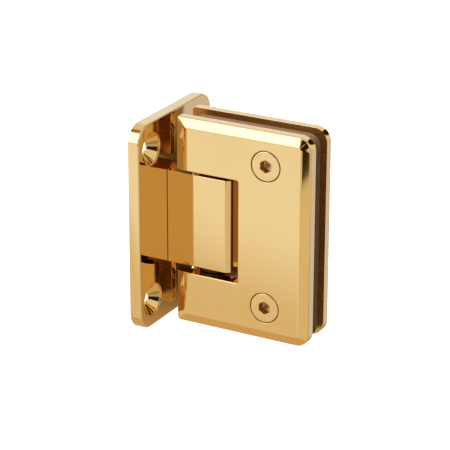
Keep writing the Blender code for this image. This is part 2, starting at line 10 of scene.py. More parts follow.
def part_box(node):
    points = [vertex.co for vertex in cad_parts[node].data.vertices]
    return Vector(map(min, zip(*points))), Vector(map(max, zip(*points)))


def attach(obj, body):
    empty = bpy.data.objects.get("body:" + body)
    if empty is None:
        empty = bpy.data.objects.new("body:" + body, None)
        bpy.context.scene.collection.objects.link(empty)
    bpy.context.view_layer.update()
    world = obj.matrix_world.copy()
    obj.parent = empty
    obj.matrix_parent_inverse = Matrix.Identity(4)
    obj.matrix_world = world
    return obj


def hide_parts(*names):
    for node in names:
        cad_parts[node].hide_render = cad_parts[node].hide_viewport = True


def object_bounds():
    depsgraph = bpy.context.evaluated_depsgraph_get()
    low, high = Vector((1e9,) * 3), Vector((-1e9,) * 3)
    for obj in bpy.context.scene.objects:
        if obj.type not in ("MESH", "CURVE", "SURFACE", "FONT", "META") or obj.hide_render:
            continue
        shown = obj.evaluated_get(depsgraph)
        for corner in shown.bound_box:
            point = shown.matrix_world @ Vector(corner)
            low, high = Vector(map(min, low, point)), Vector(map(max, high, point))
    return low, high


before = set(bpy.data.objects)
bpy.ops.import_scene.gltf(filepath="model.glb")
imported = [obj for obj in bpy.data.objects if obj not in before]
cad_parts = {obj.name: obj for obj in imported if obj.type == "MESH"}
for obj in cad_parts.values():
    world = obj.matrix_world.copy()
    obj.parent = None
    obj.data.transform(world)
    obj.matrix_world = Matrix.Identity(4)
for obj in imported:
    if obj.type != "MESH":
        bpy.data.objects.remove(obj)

bl_info = {
    "name": "Glass-to-wall shower hinge",
    "version": (1, 0, 0),
    "blender": (4, 5, 0),
    "location": "3D View > Sidebar > Hinge",
    "description": "Builds a polished gold glass-to-wall shower door hinge piece by piece",
    "category": "Add Mesh",
}

CAD_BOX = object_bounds()
WALL_LOW, WALL_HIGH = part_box("wall_plate")
BLOCK_LOW, BLOCK_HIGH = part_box("pivot_block")
FRONT_LOW, FRONT_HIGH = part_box("front_clamp_plate")
REAR_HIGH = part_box("rear_clamp_plate")[1]
PIN_LOW, PIN_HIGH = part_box("pin_end_upper")
BUSH_LOW, BUSH_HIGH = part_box("bush_upper")
SCREW_LOW, SCREW_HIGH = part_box("clamp_screw_upper")
BACK_SCREW_LOW, BACK_SCREW_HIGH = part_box("block_screw_upper")
SLEEVE_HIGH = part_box("screw_sleeve_upper")[1]

PIN_X = (PIN_LOW.x + PIN_HIGH.x) / 2
PIN_RADIUS = (PIN_HIGH.x - PIN_LOW.x) / 2
SCREW_X = (SCREW_LOW.x + SCREW_HIGH.x) / 2
SCREW_RADIUS = (SCREW_HIGH.x - SCREW_LOW.x) / 2
BACK_SCREW_Z = (BACK_SCREW_LOW.z + BACK_SCREW_HIGH.z) / 2
PLATE_THICKNESS = 0.0052
PLATE_OUTER = REAR_HIGH.y
PLATE_INNER = PLATE_OUTER - PLATE_THICKNESS

# Small fixed sizes in metres. They are plain numbers, because a property would round them.
BACK_BREAK = 0.00012
INNER_EDGE = 0.0002
BUSH_EDGE = 0.0002
SEAT_GAP = 0.0001
FIT_GAP = 0.0003
RUNNING_GAP = 0.00005
BOSS_ROOT = 0.0006
BOSS_DEPTH = 0.0056
HEAD_LEAD = 0.0005
SEAT_WALL = 0.0002
BLIND_WALL = 0.0010
SCREW_BORE = 0.0033
SCREW_STEM = 0.0030
BACK_BORE = 0.0028
BACK_STEM = 0.0025
FLOOR_DROP = 0.0001

X_AXIS = Vector((1, 0, 0))
Y_AXIS = Vector((0, 1, 0))
Z_AXIS = Vector((0, 0, 1))
ENDS = (("upper", 1), ("lower", -1))

# How far a tool reaches past the face that it cuts, and how far its own rounding is lifted
# off that face's plane
OVERCUT = 0.001
LIFT = 1e-5

# How near two places are that count as one, and how near two levels of a loft
NEAR = 2e-6
SAME_LEVEL = 5e-7
POINT_RADIUS = 1e-7
SHARP_ANGLE = math.radians(32)

# Steps round a turned shape
HOLE_STEPS = 96
PIECE_STEPS = 72
HIDDEN_HOLE_STEPS = 64
SOCKET_LEAD_STEPS = 48
HEX_SIDES = 6


def length(name, description, default):
    return FloatProperty(name=name, description=description, default=default, unit="LENGTH",
                         precision=5)


def angle(name, description, degrees):
    return FloatProperty(name=name, description=description, default=math.radians(degrees),
                         unit="ROTATION")


def colour(name, description, default):
    return FloatVectorProperty(name=name, description=description, default=default,
                               subtype="COLOR", size=3, min=0, max=1)


class WallPlateSizes(bpy.types.PropertyGroup):
    thickness: length("Thickness", "Thickness of the wall plate", WALL_HIGH.x - WALL_LOW.x)
    width: length("Width", "Width along the wall", WALL_HIGH.y - WALL_LOW.y)
    height: length("Height", "Height of the wall plate", WALL_HIGH.z - WALL_LOW.z)
    corner_radius: length("Corner radius", "Radius of the plate's corners", 0.0080)
    edge_radius: length("Edge radius", "Rounding along the plate's front edge", 0.0007)
    hole_diameter: length("Hole", "Diameter of the wall screw holes", 0.0070)
    sink_diameter: length("Countersink", "Width of the countersinks at the face", 0.0142)
    sink_lead: length("Countersink lead", "Straight part below the face", 0.0008)
    spacing_y: length("Spacing across", "Distance between the holes across", 0.0400)
    spacing_z: length("Spacing up", "Distance between the holes upwards", 0.0668)
    rim_break: length("Rim break", "Width of the softened countersink rim", 0.00018)


class BlockSizes(bpy.types.PropertyGroup):
    chamfer_length: length("Chamfer length", "Length of the chamfer at the nose", 0.0021)
    chamfer_depth: length("Chamfer depth", "How far that chamfer falls away", 0.0012)
    edge_radius: length("Edge radius", "Rounding along the block's edges", 0.0004)
    foot_radius: length("Foot radius", "Rounding where the block meets the wall plate", 0.00025)
    bush_diameter: length("Bush pocket", "Diameter of the pocket for a bush", 0.0123)
    bush_length: length("Pocket depth", "Depth of the pocket for a bush", 0.0081)
    bore_diameter: length("Bore", "Diameter of the pin's bore", 0.0106)
    chamber_width: length("Chamber width", "Width of the detent's chamber", 0.0088)
    chamber_height: length("Chamber height", "Height of the detent's chamber", 0.0162)
    flange_thickness: length("Flange", "Thickness of a bush's flange", 0.0017)


class ClampSizes(bpy.types.PropertyGroup):
    far_corner: length("Far corner radius", "Radius of the corners at the glass end", 0.0060)
    near_corner: length("Near corner radius", "Radius of the corners at the wall end", 0.0015)
    face_corner: length("Face corner radius", "Corner radius inside the bevel", 0.0009)
    bevel_width: length("Bevel width", "Width of the sloping border", 0.0042)
    bevel_depth: length("Bevel depth", "How far the border falls away", 0.0013)
    edge_radius: length("Edge radius", "Rounding of the outer edge", 0.0006)
    crease_radius: length("Crease radius", "Rounding where the border meets the face", 0.0006)
    notch_clearance: length("Notch clearance", "Room above the pivot block", 0.0021)
    notch_end: length("Notch end", "Where the notch ends, from the wall", 0.0400)
    notch_corner: length("Notch corner", "Radius inside the notch's corners", 0.0008)
    notch_rim: length("Notch rim", "Rounding of the notch's rim", 0.0004)
    boss_width: length("Boss width", "Width of the bosses that hold the pin", 0.0140)
    boss_top: length("Boss top", "Height of the bosses' far ends", 0.0335)
    groove_width: length("Groove width", "Width of the square groove for the pin", 0.0072)
    groove_top: length("Groove top", "Height of the grooves' far ends", 0.0314)


class ScrewSizes(bpy.types.PropertyGroup):
    spacing: length("Spacing", "Distance between the clamp screws", 0.0620)
    key: length("Key", "Width of the hex socket across its flats", 0.0050)
    rim_radius: length("Rim", "Rounding of the head's rim", 0.00035)
    head_inset: length("Head inset", "How much smaller a clamp screw's head is", 0.0004)
    head_gap: length("Head gap", "Gap round a clamp screw's head", 0.0003)
    seat_rim: length("Seat rim", "Rounding of the plate round a screw's head", 0.0003)
    back_key: length("Back key", "Width of the block screws' hex sockets", 0.0030)
    thread_pitch: length("Thread pitch", "Distance between the thread's turns", 0.0010)


class Finishes(bpy.types.PropertyGroup):
    gold: colour("Gold", "Colour of the polished gold plating", (0.79, 0.53, 0.20))
    screw_gold: colour("Screw gold", "Colour of the turned screws", (0.79, 0.53, 0.205))
    # Darker than the screws' gold: broached metal, with painted shade for the socket's recess.
    socket: colour("Socket", "Colour inside the clamp screws' sockets", (0.60, 0.34, 0.105))
    inside: colour("Inside", "Colour of the clamp's milled inner faces", (0.55, 0.32, 0.10))
    # The inner faces' glow is painted light, standing for light between the clamp plates.
    painted_gap_glow: colour("Gap glow", "Light that gathers between the clamp plates",
                     (0.030, 0.013, 0.003))
    # The gaskets' glow is painted light, lifting their faces in the dark gaps.
    painted_gasket_glow: colour("Sheet glow", "Light that the translucent gaskets let through",
                       (0.020, 0.009, 0.003))
    steel: colour("Steel", "Colour of the pin", (0.55, 0.55, 0.54))
    shoe_brass: colour("Brass", "Colour of the detent shoe", (0.62, 0.45, 0.20))
    gasket: colour("Gasket", "Colour of the glass gaskets", (0.30, 0.175, 0.085))
    sleeve: colour("Sleeve", "Colour of the screw sleeves", (0.80, 0.79, 0.76))
    bush: colour("Bush", "Colour of the bushes", (0.080, 0.042, 0.020))


class StageSettings(bpy.types.PropertyGroup):
    azimuth: angle("Azimuth", "Camera's turn to the right of the front", 27.94)
    elevation: angle("Elevation", "Camera's height angle", 21.53)
    distance: length("Distance", "Camera's distance from the point it circles", 0.84809)
    centre_x: length("Centre", "Distance of that point from the wall", 0.0380)
    pan: angle("Pan", "How much further the camera is turned", 0.60)
    tilt: angle("Tilt", "How much further the camera is tilted", 0.03)
    roll: angle("Roll", "Camera's roll", -0.15)
    lens: FloatProperty(name="Lens", description="Focal length in millimetres", default=163.67,
                        subtype="DISTANCE_CAMERA")
    floor_size: length("Floor", "Width of the floor", 6.0)


def group_of(name):
    """One of this file's groups of settings, from the scene."""
    return getattr(bpy.context.scene, "hinge_" + name)


# Modelling helpers


def deselect():
    """Leaves edit mode and deselects everything, the CAD nodes too."""
    if bpy.context.object and bpy.context.object.mode != "OBJECT":
        bpy.ops.object.mode_set(mode="OBJECT")
    bpy.ops.object.select_all(action="DESELECT")


def pick(*items):
    """Selects these objects alone; the first is active."""
    deselect()
    for item in items:
        item.select_set(True)
    bpy.context.view_layer.objects.active = items[0]


def take_new(name):
    """Names the primitive just added, with its place and size put into its mesh."""
    item = bpy.context.active_object
    bpy.ops.object.transform_apply(location=True, rotation=True, scale=True)
    item.name = name
    item.data.name = name
    return item


def add_block(name, first, second):
    """A block between two opposite corners, given in any order."""
    deselect()
    first = Vector(first)
    second = Vector(second)
    bpy.ops.mesh.primitive_cube_add(size=1, location=(first + second) / 2)
    bpy.context.active_object.scale = [abs(value) for value in second - first]
    return take_new(name)


def edit(item, mode):
    """Opens a piece in edit mode with nothing selected."""
    pick(item)
    bpy.ops.object.mode_set(mode="EDIT")
    bpy.ops.mesh.select_mode(type=mode)
    bpy.ops.mesh.select_all(action="DESELECT")
    return bmesh.from_edit_mesh(item.data)


def edit_all(item):
    """Opens a piece in edit mode with all its faces selected."""
    edit(item, "FACE")
    bpy.ops.mesh.select_all(action="SELECT")


def leave_edit():
    bpy.ops.object.mode_set(mode="OBJECT")


def select_where(item, mode, test):
    """Opens a piece and selects the edges or faces for which the test holds."""
    shape = edit(item, mode)
    parts = shape.edges if mode == "EDGE" else shape.faces
    found = [part for part in parts if test(part)]
    if not found:
        raise RuntimeError("nothing to select was found on " + item.name)
    for part in found:
        part.select_set(True)
    bmesh.update_edit_mesh(item.data)


def round_edges(item, width, segments, test):
    select_where(item, "EDGE", test)
    bpy.ops.mesh.bevel(offset=width, offset_type="OFFSET", segments=segments, profile=0.5,
                       affect="EDGES", clamp_overlap=True)
    leave_edit()


def face_outward(item):
    edit_all(item)
    bpy.ops.mesh.normals_make_consistent(inside=False)
    leave_edit()


def apply_modifier(item, kind, **settings):
    pick(item)
    bpy.ops.object.modifier_add(type=kind)
    modifier = item.modifiers[-1]
    for key, value in settings.items():
        setattr(modifier, key, value)
    bpy.ops.object.modifier_apply(modifier=modifier.name)


def carve(item, tool, operation="DIFFERENCE"):
    """Cuts the tool out of the piece, or joins it on, and removes the tool."""
    apply_modifier(item, "BOOLEAN", operation=operation, solver="EXACT", object=tool)
    bpy.data.objects.remove(tool, do_unlink=True)


def carve_all(item, tools):
    """Cuts several tools that lie apart in one go."""
    pick(*tools)
    bpy.ops.object.join()
    carve(item, bpy.context.active_object)


def polish_normals(item):
    """Smooth shading that leaves the flat faces flat."""
    pick(item)
    bpy.ops.object.shade_smooth_by_angle(angle=SHARP_ANGLE)
    apply_modifier(item, "WEIGHTED_NORMAL", keep_sharp=True, weight=100)


def add_outline(name, axis, level, corners, radii, steps):
    """A flat rounded rectangle across an axis; corners are its low and high (u, v).

    The radii are those of the corners at the lower and at the higher u.
    """
    deselect()
    low, high = corners
    u = (low[0] + high[0]) / 2
    v = (low[1] + high[1]) / 2
    if axis == X_AXIS:
        centre = (level, u, v)
        turn = (math.pi / 2, 0, math.pi / 2)
    else:
        centre = (u, level, v)
        turn = (math.pi / 2, 0, 0)
    bpy.ops.mesh.primitive_plane_add(size=1, location=centre, rotation=turn)
    bpy.context.active_object.scale = (high[0] - low[0], high[1] - low[1], 1)
    item = take_new(name)
    across = 1 if axis == X_AXIS else 0
    for side, radius in zip((-1, 1), radii):
        shape = edit(item, "VERT")
        for vert in shape.verts:
            vert.select_set(side * (vert.co[across] - centre[across]) > 0 and is_corner(vert))
        bmesh.update_edit_mesh(item.data)
        bpy.ops.mesh.bevel(offset=radius, offset_type="OFFSET", segments=steps, profile=0.5,
                           affect="VERTICES")
        leave_edit()
    return item


def is_corner(vert):
    """True where a vertex's two edges meet at about a right angle."""
    first, second = [edge.other_vert(vert).co - vert.co for edge in vert.link_edges]
    return abs(first.normalized().dot(second.normalized())) < 0.2


def loft(name, axis, sections, steps):
    """A closed solid through rounded outlines across X or Y, each (level, corners, radii)."""
    rings = []
    for level, corners, radii in sections:
        rings.append(add_outline(name, axis, level, corners, radii, steps))
    for ring in rings[1:-1]:
        edit_all(ring)
        bpy.ops.mesh.delete(type="ONLY_FACE")
        leave_edit()
    pick(*rings)
    bpy.ops.object.join()
    item = bpy.context.active_object
    index = [abs(value) for value in axis].index(1)
    levels = [section[0] for section in sections]
    for pair in zip(levels, levels[1:]):
        select_where(item, "EDGE", lambda edge, pair=pair: lies_on(edge, index, pair))
        bpy.ops.mesh.bridge_edge_loops(type="SINGLE", use_merge=False)
        leave_edit()
    item.name = name
    item.data.name = name
    face_outward(item)
    return item


def lies_on(edge, index, levels):
    """True if an edge lies in one of these planes across an axis."""
    first, second = [vert.co[index] for vert in edge.verts]
    return (abs(first - second) < SAME_LEVEL
            and min(abs(first - level) for level in levels) < SAME_LEVEL)


def is_upright(edge):
    first, second = edge.verts
    return (first.co - second.co).xy.length < NEAR


def turned(name, axis, centre, profile, steps):
    """A turned solid: a disc that is extruded and resized along (radius, distance) points.

    The axis is a coordinate axis or its opposite, and distances run along it.
    """
    deselect()
    radius, start = profile[0]
    bpy.ops.mesh.primitive_circle_add(vertices=steps, radius=radius, fill_type="NGON",
                                      location=(0, 0, start))
    item = take_new(name)
    edit_all(item)
    for next_radius, distance in profile[1:]:
        next_radius = max(next_radius, POINT_RADIUS)
        bpy.ops.mesh.extrude_region_move(
            TRANSFORM_OT_translate={"value": (0, 0, distance - start)})
        scale = next_radius / radius
        bpy.ops.transform.resize(value=(scale, scale, 1), center_override=(0, 0, distance))
        radius = next_radius
        start = distance
    leave_edit()
    if radius < 2 * POINT_RADIUS:
        edit_all(item)
        bpy.ops.mesh.remove_doubles(threshold=10 * POINT_RADIUS)
        leave_edit()
    turn = Z_AXIS.rotation_difference(axis).to_matrix().to_4x4()
    item.matrix_world = Matrix.Translation(centre) @ turn
    pick(item)
    bpy.ops.object.transform_apply(location=True, rotation=True, scale=True)
    face_outward(item)
    return item


def rounding(corner, width, steps, first, second):
    """Points of a quarter round between two directions that leave a profile's corner."""
    corner = Vector(corner)
    start = corner + Vector(first).normalized() * width
    end = corner + Vector(second).normalized() * width
    points = []
    for step in range(steps + 1):
        t = step / steps
        points.append(tuple(start * (1 - t) ** 2 + corner * 2 * t * (1 - t) + end * t ** 2))
    return points


def dress(item, body, nodes, finish):
    """Gives a finished piece its finish and body, and hides the CAD nodes that it stands for."""
    item.data.materials.clear()
    item.data.materials.append(bpy.data.materials[finish])
    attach(item, body)
    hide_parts(*nodes)


def repaint(item, finish, test):
    """Gives a second finish to the faces for which the test holds."""
    pick(item)
    item.data.materials.append(bpy.data.materials[finish])
    item.active_material_index = len(item.data.materials) - 1
    select_where(item, "FACE", test)
    bpy.ops.object.material_slot_assign()
    leave_edit()


# Materials


def add_node(tree, kind, source=None, **settings):
    """Adds a shader node, with a source linked to its first input."""
    node = tree.nodes.new(kind)
    for key, value in settings.items():
        setattr(node, key, value)
    if source:
        tree.links.new(source, node.inputs[0])
    return node


def set_inputs(node, values):
    """Sets some of a shader node's inputs by their names."""
    for name, value in values.items():
        node.inputs[name].default_value = value


class Maker:
    """Builds one procedural material on Object coordinates."""

    def __init__(self, name, metallic, roughness):
        self.material = bpy.data.materials.new(name)
        self.material.use_nodes = True
        self.tree = self.material.node_tree
        self.shader = self.tree.nodes["Principled BSDF"]
        set_inputs(self.shader, {"Metallic": metallic, "Roughness": roughness})
        self.place = self.tree.nodes.new("ShaderNodeTexCoord").outputs["Object"]

    def link(self, source, target):
        self.tree.links.new(source, target)

    def node(self, kind, source=None, **settings):
        return add_node(self.tree, kind, source, **settings)

    def split(self):
        """The place's three coordinates."""
        return self.node("ShaderNodeSeparateXYZ", self.place).outputs

    def noise(self, scale, detail, stretch=(1, 1, 1)):
        """A noise texture; a small stretch value draws it out along that axis."""
        mapping = self.node("ShaderNodeMapping", self.place)
        set_inputs(mapping, {"Scale": stretch})
        noise = self.node("ShaderNodeTexNoise", mapping.outputs["Vector"])
        set_inputs(noise, {"Scale": scale, "Detail": detail})
        return noise.outputs["Fac"]

    def ranged(self, source, low, high, start=0.3, end=0.7):
        """Maps a texture's value onto a range."""
        node = self.node("ShaderNodeMapRange", source, clamp=True)
        set_inputs(node, {"From Min": start, "From Max": end, "To Min": low, "To Max": high})
        return node.outputs["Result"]

    def compute(self, operation, first, second=None):
        """A Math node; each value is a socket or a number."""
        node = self.node("ShaderNodeMath", operation=operation)
        for value, socket in zip((first, second), node.inputs):
            if isinstance(value, (int, float)):
                socket.default_value = value
            elif value:
                self.link(value, socket)
        return node.outputs[0]

    def rolled(self, low, high, reach):
        """0 inside a box and down to -1 at its ends, as a buffing wheel rounds off an end."""
        total = None
        for start, end, place in zip(low, high, self.split()):
            away = self.compute("ABSOLUTE", self.compute("SUBTRACT", place, (start + end) / 2))
            half = (end - start) / 2
            bend = self.compute("POWER", self.ranged(away, 0, 1, half - reach, half), 2.0)
            total = self.compute("ADD", total, bend) if total else bend
        return self.compute("MULTIPLY", total, -1.0)

    def paint(self, source, dark, light):
        """Colours the piece between two shades by a texture."""
        ramp = self.node("ShaderNodeValToRGB", source)
        for stop, place, shade in zip(ramp.color_ramp.elements, (0.3, 0.7), (dark, light)):
            stop.position = place
            stop.color = (*shade, 1)
        self.link(ramp.outputs["Color"], self.shader.inputs["Base Color"])

    def roughen(self, source):
        self.link(source, self.shader.inputs["Roughness"])

    def emboss(self, *layers):
        """Stacks bump layers, each (texture, depth in metres)."""
        normal = None
        for source, depth in layers:
            bump = self.node("ShaderNodeBump")
            set_inputs(bump, {"Strength": 1.0, "Distance": depth})
            self.link(source, bump.inputs["Height"])
            if normal:
                self.link(normal, bump.inputs["Normal"])
            normal = bump.outputs["Normal"]
        self.link(normal, self.shader.inputs["Normal"])

    def light_up(self, light, strength=1):
        set_inputs(self.shader, {"Emission Color": (*light, 1), "Emission Strength": strength})


def tint(base, factor):
    return tuple(min(1.0, value * factor) for value in base)


# The gold's roll-off towards its ends, its ripple and its hairlines, in metres
ROLL_REACH = 0.0035
ROLL_DEPTH = 22e-6
RIPPLE_DEPTH = 6e-6
HAIRLINE_DEPTH = 0.25e-6


def polished_gold(name, low, high):
    """Plated and buffed: a mirror, rolled off at its ends, with wipe marks and hairlines."""
    base = group_of("finishes").gold
    maker = Maker(name, 1.0, 0.05)
    maker.paint(maker.noise(38, 2), tint(base, 0.985), tint(base, 1.015))
    wipe = maker.ranged(maker.noise(60, 4, (1, 1, 0.4)), 0.035, 0.065)
    hairline = maker.ranged(maker.noise(900, 3, (0.04, 1, 1)), 0.0, 0.05, 0.62, 0.80)
    maker.roughen(maker.compute("ADD", wipe, hairline))
    maker.emboss((maker.rolled(low, high, ROLL_REACH), ROLL_DEPTH),
                 (maker.noise(60, 1), RIPPLE_DEPTH),
                 (maker.noise(1500, 2, (0.03, 1, 1)), HAIRLINE_DEPTH))


def plated_screw():
    """The screws' finish: turned before plating, so a little duller than the plates."""
    base = group_of("finishes").screw_gold
    maker = Maker("plated_screw", 1.0, 0.12)
    maker.paint(maker.noise(300, 3), tint(base, 0.96), tint(base, 1.03))
    maker.roughen(maker.ranged(maker.noise(1200, 3), 0.08, 0.17))
    maker.emboss((maker.noise(1600, 3), 1.2e-6))


def brushed_metal(name, base, roughness, stretch, glow=None):
    """Drawn or turned metal that isn't seen much: fine lines one way.

    A faint glow stands for the light that many reflections bring into a deep gap.
    """
    maker = Maker(name, 1.0, roughness)
    lines = maker.noise(700, 3, stretch)
    maker.paint(lines, tint(base, 0.88), tint(base, 1.08))
    maker.roughen(maker.ranged(lines, roughness - 0.08, roughness + 0.08))
    maker.emboss((lines, 4e-6))
    if glow:
        maker.light_up(glow)


def moulded_plastic(name, base, roughness, grain, gloss=0.5, glow=None):
    """Moulded plastic with a fine grain and slight mottling; a glow, where given, is painted light
    that lifts its faces in dark gaps.
    """
    maker = Maker(name, 0.0, roughness)
    set_inputs(maker.shader, {"Specular IOR Level": gloss})
    maker.paint(maker.noise(180, 3), tint(base, 0.88), tint(base, 1.12))
    speckle = maker.noise(2600, 3)
    maker.roughen(maker.ranged(speckle, roughness - 0.06, roughness + 0.08))
    maker.emboss((speckle, grain))
    if glow:
        maker.light_up(glow)


# The light tent's panels, each painted over the ones before it. A row gives its name, its
# middle's azimuth, half its width, its lowest and highest elevation and the softness of its
# rim, all in degrees, how many degrees it falls per degree of azimuth, and its light's colour.
# Azimuth 0 is in front of the clamp, and 90 is at its far end.
TENT_RADIUS = 4.0
TENT_BASE = (0.95, 0.98, 1.10)
TENT_PANELS = (
    ("front floor", 0, 110, -95, -2, 6, 0, (0.87, 0.82, 0.74)),
    ("front left floor", -32, 18, -21.4, -2, 3, 0.3, (1.08, 1.17, 1.43)),
    ("front right floor", 42, 24, -95, -2, 14, 0, (0.82, 0.79, 0.78)),
    ("far end floor", 66, 12, -34, -8, 6, 0, (0.60, 0.56, 0.55)),
    ("far end shade", 66, 12, -40, -21.5, 4, 0, (0.45, 0.33, 0.22)),
    ("back floor", 180, 70, -95, -3, 8, 0, (0.76, 0.80, 1.06)),
    ("wall side floor", 210, 16, -45, -8, 8, 0, (0.40, 0.27, 0.15)),
    ("near floor", 0, 181, -95, -42, 8, 0, (0.75, 0.585, 0.40)),
    ("back wall", 205, 48, -3, 36, 8, 0, (0.98, 1.08, 1.38)),
    ("ceiling", 0, 181, 46, 95, 34, 0, (0.92, 0.88, 0.90)),
    ("ceiling's front rim", -68, 14, 51, 62, 3, 0, (0.36, 0.26, 0.18)),
    ("key box", -38.5, 18.5, 3, 50, 2, 0, (2.20, 2.35, 3.90)),
    ("front flag", -1.5, 12.5, -15, 27, 1, 0, (0.020, 0.013, 0.008)),
    ("flag's foot", 8.8, 2.4, -19.9, -12, 0.2, -0.12, (0.020, 0.013, 0.008)),
    ("flag's slit", -2, 4, 8.5, 11.5, 1, 0.3, (0.50, 0.25, 0.07)),
    ("far end streak", 63, 9, -7, 16, 6, 0, (0.035, 0.020, 0.010)),
    ("ceiling streak", 130, 20, 30, 54, 4, 0, (0.045, 0.028, 0.014)),
    ("upper flag", 17, 12, 29, 44, 4, 0, (0.045, 0.028, 0.014)),
    ("back flag", 159, 10, 10, 31, 3, 0, (0.020, 0.013, 0.010)),
)


def tent_material():
    """The tent's glow, worked out from the direction in which each point lies."""
    material = bpy.data.materials.new("tent_cloth")
    material.use_nodes = True
    tree = material.node_tree
    tree.nodes.clear()

    def node(kind, source=None, **settings):
        return add_node(tree, kind, source, **settings)

    place = node("ShaderNodeTexCoord").outputs["Object"]
    direction = node("ShaderNodeVectorMath", place, operation="NORMALIZE").outputs[0]
    split = node("ShaderNodeSeparateXYZ", direction)
    rise = node("ShaderNodeMath", split.outputs["Z"], operation="ARCSINE").outputs[0]
    flat = node("ShaderNodeVectorMath", direction, operation="MULTIPLY")
    flat.inputs[1].default_value = (1, 1, 0)
    level = node("ShaderNodeVectorMath", flat.outputs[0], operation="NORMALIZE").outputs[0]

    def along(azimuth):
        """How far a direction runs towards an azimuth."""
        dot = node("ShaderNodeVectorMath", level, operation="DOT_PRODUCT")
        dot.inputs[1].default_value = (math.sin(azimuth), -math.cos(azimuth), 0)
        return dot.outputs["Value"]

    def window(source, middle, half, soft):
        """1 within half an extent of the middle, and 0 beyond the soft rim."""
        offset = node("ShaderNodeMath", source, operation="SUBTRACT")
        offset.inputs[1].default_value = math.radians(middle)
        away = node("ShaderNodeMath", offset.outputs[0], operation="ABSOLUTE")
        fade = node("ShaderNodeMapRange", away.outputs[0], interpolation_type="SMOOTHSTEP")
        set_inputs(fade, {"From Min": math.radians(half - soft / 2),
                          "From Max": math.radians(half + soft / 2), "To Min": 1, "To Max": 0})
        return fade.outputs["Result"]

    glow = None
    for name, azimuth, half, low, high, soft, fall, light in TENT_PANELS:
        turn = math.radians(azimuth)
        aside = node("ShaderNodeMath", along(turn + math.pi / 2), operation="ARCTAN2")
        tree.links.new(along(turn), aside.inputs[1])
        across = window(aside.outputs[0], 0, half, soft)
        tilted = node("ShaderNodeMath", aside.outputs[0], operation="MULTIPLY_ADD")
        tilted.inputs[1].default_value = fall
        tree.links.new(rise, tilted.inputs[2])
        upward = window(tilted.outputs[0], (low + high) / 2, (high - low) / 2, soft)
        both = node("ShaderNodeMath", across, operation="MULTIPLY")
        tree.links.new(upward, both.inputs[1])
        blend = node("ShaderNodeMix", both.outputs[0], data_type="RGBA", label=name)
        ground, paint = [socket for socket in blend.inputs if socket.type == "RGBA"]
        if glow:
            tree.links.new(glow, ground)
        else:
            ground.default_value = (*TENT_BASE, 1)
        paint.default_value = (*light, 1)
        glow = [socket for socket in blend.outputs if socket.type == "RGBA"][0]
    emission = node("ShaderNodeEmission", glow)
    node("ShaderNodeOutputMaterial", emission.outputs[0])
    return material


# The shade card stands behind the clamp and gives the wall plate its brown reflections. It is
# a block and a step, each by its corners, and its glow runs through these heights and colours.
CARD = ((0.030, 0.1, -0.130), (0.100, 0.101, -0.006))
CARD_STEP = ((0.0594, 0.1, -0.010), (0.100, 0.101, 0.015))
CARD_STOPS = (
    (-0.112, (0.55, 0.40, 0.25)), (-0.075, (0.05, 0.028, 0.014)),
    (-0.015, (0.10, 0.06, 0.03)), (0.002, (0.30, 0.20, 0.12)),
)


def card_material():
    """A glow that runs through the shade card's colours with the height."""
    maker = Maker("shade_cloth", 0.0, 1.0)
    set_inputs(maker.shader, {"Base Color": (0, 0, 0, 1), "Specular IOR Level": 0,
                              "Emission Strength": 1})
    low = CARD_STOPS[0][0]
    high = CARD_STOPS[-1][0]
    ramp = maker.node("ShaderNodeValToRGB")
    ramp.color_ramp.interpolation = "EASE"
    for index, (height, light) in enumerate(CARD_STOPS):
        if index in (0, len(CARD_STOPS) - 1):
            stop = ramp.color_ramp.elements[-1 if index else 0]
        else:
            stop = ramp.color_ramp.elements.new((height - low) / (high - low))
        stop.color = (*light, 1)
    maker.link(maker.ranged(maker.split()["Z"], 0, 1, low, high), ramp.inputs["Fac"])
    maker.link(ramp.outputs["Color"], maker.shader.inputs["Emission Color"])
    return maker.material


# Operators


class HINGE_OT_finishes(bpy.types.Operator):
    """Makes the materials and gives one to every CAD node"""
    bl_idname = "hinge.finishes"
    bl_label = "Finishes"

    def execute(self, context):
        colours = group_of("finishes")
        polished_gold("buffed_plates", FRONT_LOW, REAR_HIGH)
        polished_gold("buffed_wall_plate", WALL_LOW, WALL_HIGH)
        polished_gold("buffed_block", BLOCK_LOW, BLOCK_HIGH)
        plated_screw()
        # The sockets' darker colour is partly painted shade for their recess.
        brushed_metal("broached_socket", colours.socket, 0.36, (1, 0.05, 1))
        # The milled inner faces carry a painted glow for the light between the plates.
        brushed_metal("milled_inside", colours.inside, 0.26, (0.05, 1, 1), colours.painted_gap_glow)
        brushed_metal("turned_steel", colours.steel, 0.30, (1, 1, 0.05))
        brushed_metal("spring_wire", tint(colours.steel, 0.75), 0.34, (0.2, 1, 1))
        brushed_metal("milled_brass", colours.shoe_brass, 0.32, (0.05, 1, 1))
        moulded_plastic("moulded_black", colours.bush, 0.50, 4e-6, 0.10)
        moulded_plastic("moulded_sleeve", colours.sleeve, 0.40, 4e-6)
        # The gaskets carry a painted glow for the dark gaps.
        moulded_plastic("gasket_sheet", colours.gasket, 0.48, 6e-6, 0.02, colours.painted_gasket_glow)
        finishes = {
            "wall_plate": "buffed_plates", "pivot_block": "buffed_plates",
            "front_clamp_plate": "buffed_plates", "rear_clamp_plate": "buffed_plates",
            "clamp_screw": "plated_screw", "block_screw": "turned_steel",
            "pin_": "turned_steel", "detent_spring": "spring_wire",
            "detent_shoe": "milled_brass", "bush": "moulded_black",
            "screw_sleeve": "moulded_sleeve", "glass_gasket": "gasket_sheet",
        }
        for name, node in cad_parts.items():
            found = [finish for start, finish in finishes.items() if name.startswith(start)]
            if not found:
                raise RuntimeError("no finish for " + name)
            node.data.materials.clear()
            node.data.materials.append(bpy.data.materials[found[0]])
        return {"FINISHED"}


